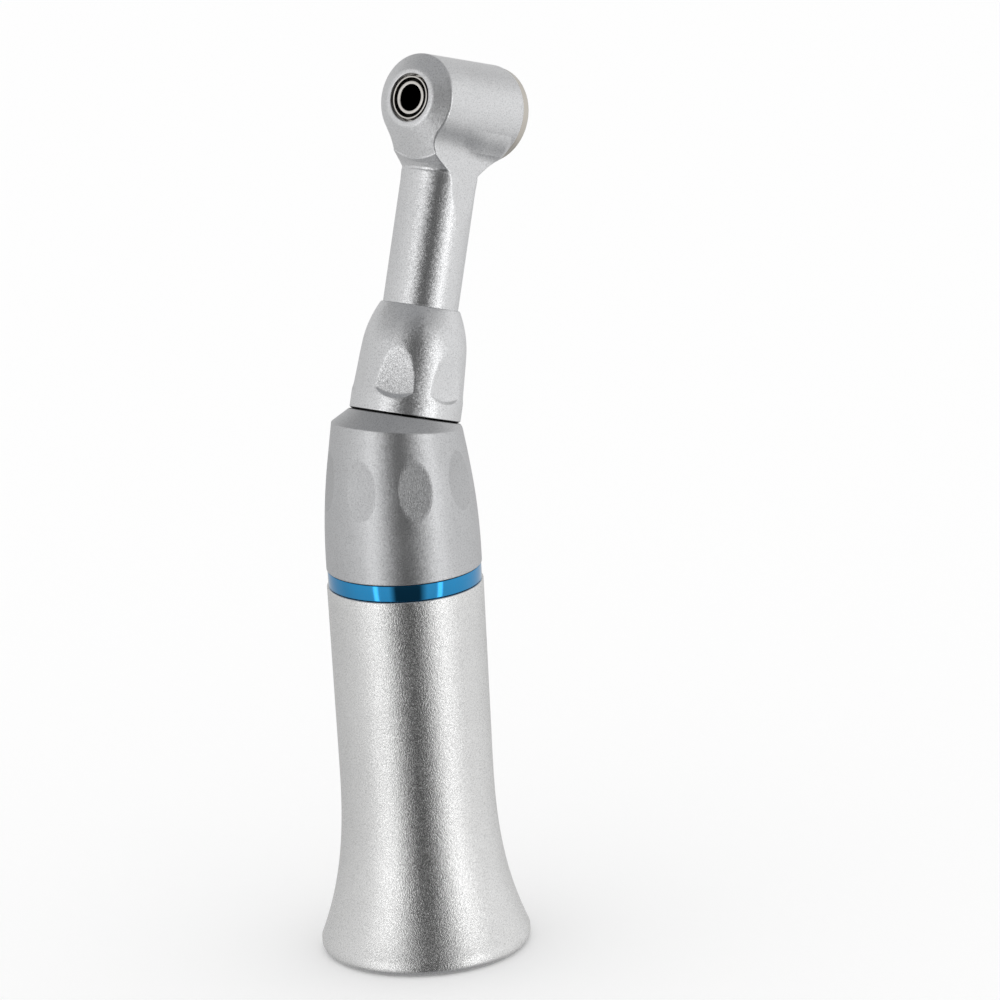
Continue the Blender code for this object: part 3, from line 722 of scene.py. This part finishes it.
def nut_field(x, y, s):
    """The lock nut: a tapered turned body, scooped flats with a curved lip below, and its bore."""
    radius = np.hypot(x, y)
    body = smooth_max((radius - nut_r(s)) * 0.95, s - NUT_TOP, 0.22)
    groove = np.maximum(radius - NUT_GROOVE_R, 0.0) * NUT_GROOVE_SLOPE
    body = smooth_max(body, NUT_BOTTOM + groove - s, 0.04)
    across, along = fold(x, y, NUT_FLATS, NUT_PHASE)
    centre_r, centre_s = flat_centre()
    scoop = np.hypot(across - centre_r, s - centre_s) - NUT_FLAT_ARC_R
    lip = NUT_FLAT_LOW - NUT_LIP_DROP + NUT_LIP_CURVE * along ** 2 + NUT_LIP_SLOPE * (NUT_R - across)
    scoop = smooth_max(scoop, (lip - s) * 0.75, 0.08)
    body = smooth_max(body, -scoop, 0.05)
    bore = np.minimum(radius - NUT_BORE_R, np.maximum(radius - NUT_THREAD_R, s - NUT_THREAD_TOP))
    return smooth_max(body, -bore, 0.05)


def make_lock_nut():
    """The lock nut, with painted shade in the joint under it."""
    step = 0.07
    side = spread(-5.35, 5.35, step)
    piece = sculpted("lock_nut_fine", nut_field, (side, side, spread(4.2, 14.8, step)), NECK)
    # Painted shade on the nut's underside, in the joint above the grip
    return mark(piece, "painted_joint_shade", NECK, lambda x, y, s: np.clip((NUT_SHADE_S - s) / 0.08, 0.0, 1.0))


def head_field(x, y, s):
    """Neck, scooped sides, barrel and front face as one blended body, less its bores."""
    from_chuck = np.hypot(y, s - HEAD_STATION)
    from_neck = np.hypot(x, y)
    taper = (FACE_R - BARREL_BACK_R) / (FACE_C - BARREL_BACK_C)
    barrel_r = BARREL_BACK_R + taper * (x - BARREL_BACK_C)
    barrel = from_chuck - barrel_r
    strip = np.abs(y) - np.interp(s, SCOOP_STATIONS, SCOOP_WIDTHS)
    cheeks = smooth_min(np.maximum(strip, s - HEAD_STATION), barrel, SCOOP_FILLET)
    turned_neck = (from_neck - np.interp(s, NECK_STATIONS, NECK_RADII)) * 0.8
    web = smooth_max(np.maximum(turned_neck, s - HEAD_STATION), cheeks, 0.12)
    web = smooth_max(web, BARREL_BACK_C + 0.1 - x, 0.3)
    # The fillet under the barrel fades out towards its sides and its front
    below = np.clip((31.2 - s) / 2.0, 0.0, 1.0)
    behind = np.clip((1.0 - x) / 3.0, 0.0, 1.0)
    body = smooth_min(web, barrel, 0.02 + BARREL_FILLET * below * behind)
    body = smooth_max(body, BARREL_BACK_C - x, 0.10)
    cone = (x - FACE_C + FACE_SLOPE * (from_chuck - FACE_R)) / math.hypot(1.0, FACE_SLOPE)
    face = smooth_max(cone, x - LIP_C, 0.12)
    face = smooth_min(face, FACING_R - from_chuck, 0.06)
    body = smooth_max(body, face, 0.13)
    flange = np.maximum(from_neck - FLANGE_R, np.abs(s - FLANGE_S) - FLANGE_HALF)
    body = np.minimum(body, flange)
    body = smooth_max(body, NECK_START - s, 0.05)
    bore = np.maximum(from_chuck - CHUCK_HOLE_R, CHUCK_HOLE_C - x)
    bore = np.minimum(bore, np.maximum(from_chuck - FRONT_SEAT_R, x - FRONT_SEAT_C))
    bore = np.minimum(bore, np.maximum(from_chuck - REAR_BORE_R, x - REAR_BORE_C))
    neck_bore = from_neck - np.interp(s, NECK_BORE_STATIONS, NECK_BORE_RADII)
    bore = np.minimum(bore, np.maximum(neck_bore, s - NECK_BORE_TOP))
    return smooth_max(body, -bore, 0.06)


def make_head_housing():
    """The neck and the head, with the turned front face marked."""
    fine = 0.065
    # Coarse steps along the plain tube and through the middle, fine ones at the head's edges
    along = spread(2.5, 9.4, 0.6) + spread(9.5, 10.7, 0.1) + spread(11.0, 21.8, 0.45)
    along += spread(22.0, 38.2, fine)
    across = spread(-5.6, -2.8, fine) + spread(-2.65, 2.35, 0.16) + spread(2.5, 6.2, 0.06)
    piece = sculpted("head_housing_fine", head_field, (across, spread(-4.8, 4.8, fine), along), NECK)

    def on_face(x, y, s):
        from_chuck = np.hypot(y, s - HEAD_STATION)
        cone = x - FACE_C + FACE_SLOPE * (from_chuck - FACE_R)
        return (np.abs(cone) < 0.03) & (from_chuck < FACING_R - 0.03)

    return mark(piece, "faced", NECK, on_face)


def make_head_cap():
    """The polished cap behind the barrel."""
    outline = [(CAP_R, CAP_FRONT_C), (CAP_R, -5.85)]
    outline += arc(CAP_R - CAP_ROUND, CAP_ROUND_C, CAP_ROUND, 8, -78, 12)
    outline += [(3.6, CAP_BACK_C), (3.3, -6.585), (CAP_HOLE_R, -6.5), (CAP_HOLE_R, CAP_SEAT_C),
                (CAP_BORE_R, CAP_SEAT_C), (CAP_BORE_R, CAP_SPIGOT_C), (CAP_SPIGOT_R, CAP_SPIGOT_C),
                (CAP_SPIGOT_R, CAP_FRONT_C)]
    return turned("head_cap_fine", outline, CHUCK, 192)


def make_push_button():
    """The release button: a low dome with a turned ring."""
    dome = [(DOME_R * math.cos(a), DOME_C - DOME_RISE * math.sin(a))
            for a in np.linspace(0.12, math.pi / 2, 14)]
    outline = [(0.0, BUTTON_FOOT_C), (BUTTON_FOOT_R, BUTTON_FOOT_C), (BUTTON_FOOT_R, BUTTON_RIM_C),
               (BUTTON_RIM_R, BUTTON_RIM_C), (BUTTON_RIM_R, BUTTON_SEAT_C), (BUTTON_R, BUTTON_SEAT_C),
               (BUTTON_R, -6.38)]
    outline += dome[:-1] + [(0.0, DOME_C - DOME_RISE)]
    return turned("push_button_fine", outline[::-1], CHUCK, 128)


def make_chuck():
    """The spindle's thin front sleeve and the collet tube inside it."""
    spindle = rounded([(SLEEVE_INNER_R, SLEEVE_TIP_C), (SLEEVE_R, SLEEVE_TIP_C), (SLEEVE_R, 2.9),
                       (SPINDLE_R, 2.8), (SPINDLE_R, SPINDLE_BACK_C), (CHUCK_BORE_R, SPINDLE_BACK_C),
                       (CHUCK_BORE_R, 2.6), (1.58, 2.6), (1.58, 5.0), (SLEEVE_INNER_R, 5.0)], 0.035, 2)
    collet = rounded([(1.25, COLLET_TIP_C), (COLLET_R, COLLET_TIP_C), (COLLET_R, COLLET_BACK_C),
                      (CHUCK_BORE_R, COLLET_BACK_C), (CHUCK_BORE_R, 5.6)], 0.03, 2)
    sleeve = turned("chuck_spindle_fine", spindle, CHUCK, 128)
    tube = turned("chuck_collet_fine", collet, CHUCK, 128)
    # Painted shade: the insides of the sleeve and the collet behind their front edges are painted near
    # black
    mark(sleeve, "painted_bore_shade", CHUCK, lambda x, y, c: c < SLEEVE_SHADE_C)
    mark(tube, "painted_bore_shade", CHUCK, lambda x, y, c: c < COLLET_SHADE_C)
    return sleeve, tube


def make_coupling():
    """The tube for the motor's nose, with its seal ring."""
    low = SEAL_Z - 0.4
    high = SEAL_Z + 0.4
    tube = rounded([(TUBE_HOLE_R, TUBE_TOP), (TUBE_R, TUBE_TOP), (TUBE_R, TUBE_BOTTOM),
                    (SOCKET_R + SOCKET_CHAMFER, TUBE_BOTTOM), (SOCKET_R, TUBE_BOTTOM + SOCKET_CHAMFER),
                    (SOCKET_R, low), (SEAL_GROOVE_R, low), (SEAL_GROOVE_R, high), (SOCKET_R, high),
                    (SOCKET_R, SOCKET_TOP), (TUBE_HOLE_R, SOCKET_TOP)], 0.05, 2)
    seal = arc(SEAL_PITCH_R, SEAL_Z, SEAL_SECTION_R, 360, 24, 14)
    return turned("coupling_tube_fine", tube), turned("coupling_seal_fine", seal)


def make_balls(name, matrix, station, pitch, ball):
    """Round balls in a ring cage, as one piece."""
    work = bmesh.new()
    for i in range(BALL_COUNT):
        angle = math.tau * (i + 0.5) / BALL_COUNT
        spot = Vector((pitch * math.cos(angle), pitch * math.sin(angle), station)) * MM
        bmesh.ops.create_uvsphere(work, u_segments=24, v_segments=16, radius=ball * MM,
                                  matrix=matrix @ Matrix.Translation(spot))
    wide = 0.3 * ball
    tall = 0.5 * ball
    section = [(pitch + wide, tall), (pitch + wide, -tall), (pitch - wide, -tall), (pitch - wide, tall)]
    cage = turned(name + "_cage", rounded(section, 0.02, 2),
                  matrix @ Matrix.Translation((0, 0, station * MM)), 84)
    work.from_mesh(cage.data)
    bpy.data.objects.remove(cage)
    data = bpy.data.meshes.new(name)
    work.to_mesh(data)
    work.free()
    data.shade_smooth()
    return link_object(name, data)


# ---------------------------------------------------------------- stage

# The camera's aim, distance and lens and the floor's sizes are in millimetres
CAMERA_AZ = math.radians(39.62)
CAMERA_EL = math.radians(15.44)
CAMERA_ROLL = math.radians(-3.13)
CAMERA_FAR = 431.15
CAMERA_LENS = 167.98
CAMERA_AIM = Vector((-5.085, 7.751, 43.13))
TUBE_GAIN = 1.5
ROOM_TONE = (0.86, 0.87, 0.89, 1)
FLOOR_SIZE = 1200.0
FLOOR_DROP = 0.1


def make_camera():
    """The main camera: far back, with a long lens."""
    towards = Vector((math.cos(CAMERA_EL) * math.cos(CAMERA_AZ),
                      math.cos(CAMERA_EL) * math.sin(CAMERA_AZ), math.sin(CAMERA_EL)))
    data = bpy.data.cameras.new("camera")
    data.lens = CAMERA_LENS
    data.clip_start = 0.01
    camera = link_object("camera", data)
    turn = towards.to_track_quat('Z', 'Y').to_matrix().to_4x4() @ Matrix.Rotation(CAMERA_ROLL, 4, 'Z')
    camera.matrix_world = Matrix.Translation((CAMERA_AIM + towards * CAMERA_FAR) * MM) @ turn
    bpy.context.scene.camera = camera


def make_world():
    """Soft studio light. Reflections show a white panel on each side with a bright tube in it,
    a dark gap in front, a plain grey room behind and a dim ceiling. The background and the light
    on matte surfaces are plain white."""
    world = bpy.data.worlds.new("studio")
    bpy.context.scene.world = world
    world.use_nodes = True
    nodes = Nodes(world.node_tree)
    ground = world.node_tree.nodes["Background"]
    way = nodes.add("ShaderNodeTexCoord").outputs["Generated"]
    parts = nodes.add("ShaderNodeSeparateXYZ", {0: way}).outputs
    turn = nodes.math('SUBTRACT', nodes.math('ARCTAN2', parts[1], parts[0]), CAMERA_AZ)
    turn = nodes.math('FRACT', nodes.math('ADD', nodes.math('DIVIDE', turn, math.tau), 1.5))
    rise = nodes.math('DIVIDE', nodes.math('ARCSINE', parts[2]), math.pi)
    rise = nodes.math('ADD', rise, 0.5)

    def at(degrees):
        """A ramp stop that far round from the camera."""
        return 0.5 + degrees / 360.0

    def up(degrees):
        """A ramp stop that far above the horizon."""
        return 0.5 + degrees / 180.0

    around = nodes.ramp(turn, [(0.0, 0.62), (at(-150), 0.62), (at(-100), 0.68), (at(-72), 0.82),
                               (at(-54), 0.86), (at(-24), 0.84), (at(-14), 0.07), (at(22), 0.07),
                               (at(34), 0.84), (at(75), 0.88), (at(110), 0.86), (at(150), 0.72),
                               (1.0, 0.62)], 'LINEAR')
    height = nodes.ramp(rise, [(0.0, 0.35), (up(-58), 0.38), (up(-38), 0.80), (up(-12), 0.96),
                               (up(18), 1.0), (up(30), 0.68), (up(45), 0.48), (up(60), 0.38),
                               (1.0, 0.32)], 'LINEAR')
    even = nodes.ramp(rise, [(0.0, 1.0), (up(-60), 0.8), (up(-45), 0.0), (up(38), 0.0),
                             (up(62), 1.0)], 'LINEAR')
    room = nodes.mix(even, around, ROOM_TONE)
    room = nodes.mix(1.0, room, height, 'MULTIPLY')
    tubes = nodes.ramp(turn, [(at(-48.5), 0.0), (at(-47), 1.0), (at(-41.5), 1.0), (at(-40), 0.0),
                              (at(49), 0.0), (at(51), 1.0), (at(57), 1.0), (at(59), 0.0)], 'LINEAR')
    length = nodes.ramp(rise, [(up(-38), 0.0), (up(-26), 1.0), (up(14), 1.0), (up(24), 0.0)], 'LINEAR')
    tubes = nodes.math('MULTIPLY', nodes.math('MULTIPLY', tubes, length), TUBE_GAIN)
    room = nodes.mix(1.0, room, tubes, 'ADD')
    is_glossy = nodes.add("ShaderNodeLightPath").outputs["Is Glossy Ray"]
    colour = nodes.mix(is_glossy, (1, 1, 1, 1), room)
    world.node_tree.links.new(colour, ground.inputs["Color"])
    ground.inputs["Strength"].default_value = 1.0


def make_floor():
    """A plain pale floor that the tail rim stands on."""
    data = bpy.data.meshes.new("floor")
    half = FLOOR_SIZE * MM
    corners = [(x * half, y * half, 0) for x, y in ((-1, -1), (1, -1), (1, 1), (-1, 1))]
    data.from_pydata(corners, [], [(0, 1, 2, 3)])
    floor = link_object("floor", data)
    floor.location.z = -FLOOR_DROP * MM
    material, _, shader, _ = start_material("floor_paper")
    shader.inputs["Base Color"].default_value = (0.99, 0.99, 0.99, 1)
    shader.inputs["Roughness"].default_value = 0.9
    shader.inputs["Specular IOR Level"].default_value = 0.0
    data.materials.append(material)
    floor.visible_glossy = False


# ---------------------------------------------------------------- everything together

def make_finishes():
    """Every finish, by a short name."""
    finish = {
        "tail": blasted_metal("tail_blasted", (0.92, 0.92, 0.915), 0.20, 0.115, 0.036, 0.08),
        "satin": blasted_metal("satin_fine", (0.87, 0.875, 0.885), 0.31, 0.12, 0.012, 0.12, faced=CHUCK),
        "grip": blasted_metal("grip_satin", (0.69, 0.695, 0.705), 0.39, 0.12, 0.010, 0.08, brushed=True),
        "blue": polished_metal("blue_anodised", (0.012, 0.29, 0.62), 0.08),
        "chrome": polished_metal("polished_cap", (0.68, 0.64, 0.58), 0.09),
        "bright": polished_metal("turned_steel", (0.80, 0.77, 0.73), 0.16),
        # The chuck steel carries painted shade inside its bores
        "chuck_shaded": polished_metal("chuck_steel", (0.82, 0.79, 0.75), 0.14, painted_bore_shade=True),
        "steel": polished_metal("tool_steel_ground", (0.52, 0.53, 0.55), 0.28, 0.12, 0.002),
        "nickel": polished_metal("nickel_turned", (0.74, 0.70, 0.60), 0.22, 0.12, 0.002, (30, 30, 1)),
        "bronze": polished_metal("bronze_sintered", (0.62, 0.40, 0.20), 0.40, 0.15, 0.004),
        "rubber": rubber("seal_rubber")}
    lacquer = finish["blue"].node_tree.nodes["Principled BSDF"].inputs
    lacquer["Coat Weight"].default_value = 0.6
    lacquer["Coat Roughness"].default_value = 0.06
    return finish


def make_pieces(finish):
    """Every fine piece, on its body and in place of its CAD node."""
    place(make_tail_sleeve(), "handle", "blasted_aluminium", finish["tail"], "tail_sleeve")
    place(make_colour_ring(), "handle", "blue_anodised", finish["blue"], "colour_ring")
    place(make_grip_sleeve(), "handle", "satin_aluminium", finish["grip"], "grip_sleeve")
    place(make_lock_nut(), "lock_nut", "satin_aluminium", finish["satin"], "lock_nut")
    place(make_head_housing(), "head_unit", "satin_aluminium", finish["satin"], "head_housing")
    place(make_head_cap(), "head_unit", "polished_chrome", finish["chrome"], "head_cap")
    place(make_push_button(), "push_button", "polished_chrome", finish["chrome"], "push_button")
    spindle, collet = make_chuck()
    place(spindle, "chuck", "bearing_steel", finish["chuck_shaded"], "chuck_spindle")
    place(collet, "chuck", "bearing_steel", finish["chuck_shaded"], "chuck_collet")
    tube, seal = make_coupling()
    place(tube, "handle", "nickel_brass", finish["nickel"], "coupling_tube")
    place(seal, "handle", "black_rubber", finish["rubber"], "coupling_seal")
    for name, body, matrix, station, pitch, ball in BALL_SETS:
        balls = make_balls(name + "_fine", matrix, station, pitch, ball)
        place(balls, body, "bearing_steel", finish["bright"], name)


def dress_cad_nodes(finish):
    """Give the CAD nodes that keep their shape a finish, by their material slot."""
    by_slot = {"tool_steel": "steel", "bearing_steel": "bright", "bronze": "bronze",
               "black_rubber": "rubber", "nickel_brass": "nickel", "polished_chrome": "chrome"}
    slots = {part["node"]: part["material_slot"] for part in frame["record"]["subparts"]}
    for node, piece in frame["nodes"].items():
        if slots[node] in by_slot:
            for slot in piece.material_slots:
                slot.link = 'DATA'
                slot.material = finish[by_slot[slots[node]]]


def main():
    """Make the pieces and the stage."""
    finish = make_finishes()
    make_pieces(finish)
    dress_cad_nodes(finish)
    make_camera()
    make_world()
    make_floor()
    bpy.context.scene.view_settings.view_transform = 'Standard'


main()
